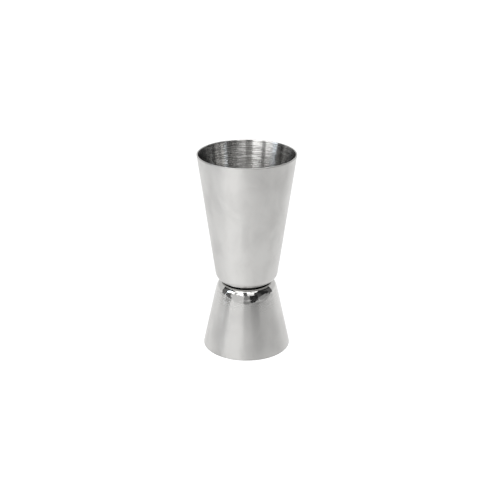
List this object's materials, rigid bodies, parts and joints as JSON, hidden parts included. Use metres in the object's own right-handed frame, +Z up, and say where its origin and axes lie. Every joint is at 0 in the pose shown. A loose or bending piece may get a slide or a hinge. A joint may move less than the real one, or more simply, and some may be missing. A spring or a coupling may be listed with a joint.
{
  "type": "bar jigger",
  "caption": "Double-ended spirit measure: a tall and a short tapered steel cup joined floor to floor, so either way up it stands on one rim and holds liquid in the other.",
  "frame": {"origin": "centre of the small cup's rim plane, which is the plane the jigger stands on", "axes": "+Z up the common axis from the small cup's rim to the large cup's rim; X and Y are free, and one spot weld lies on +X"},
  "size_m": [0.0432, 0.0432, 0.09],
  "materials": {
    "satin_steel": "satin brushed outside, lathe-turned sheen inside, polished corner at the waist",
    "weld_steel": "bare fused steel"
  },
  "bodies": {
    "root": {"large_cup": "satin_steel", "small_cup": "satin_steel", "spot_welds": "weld_steel"}
  },
  "joints": []
}
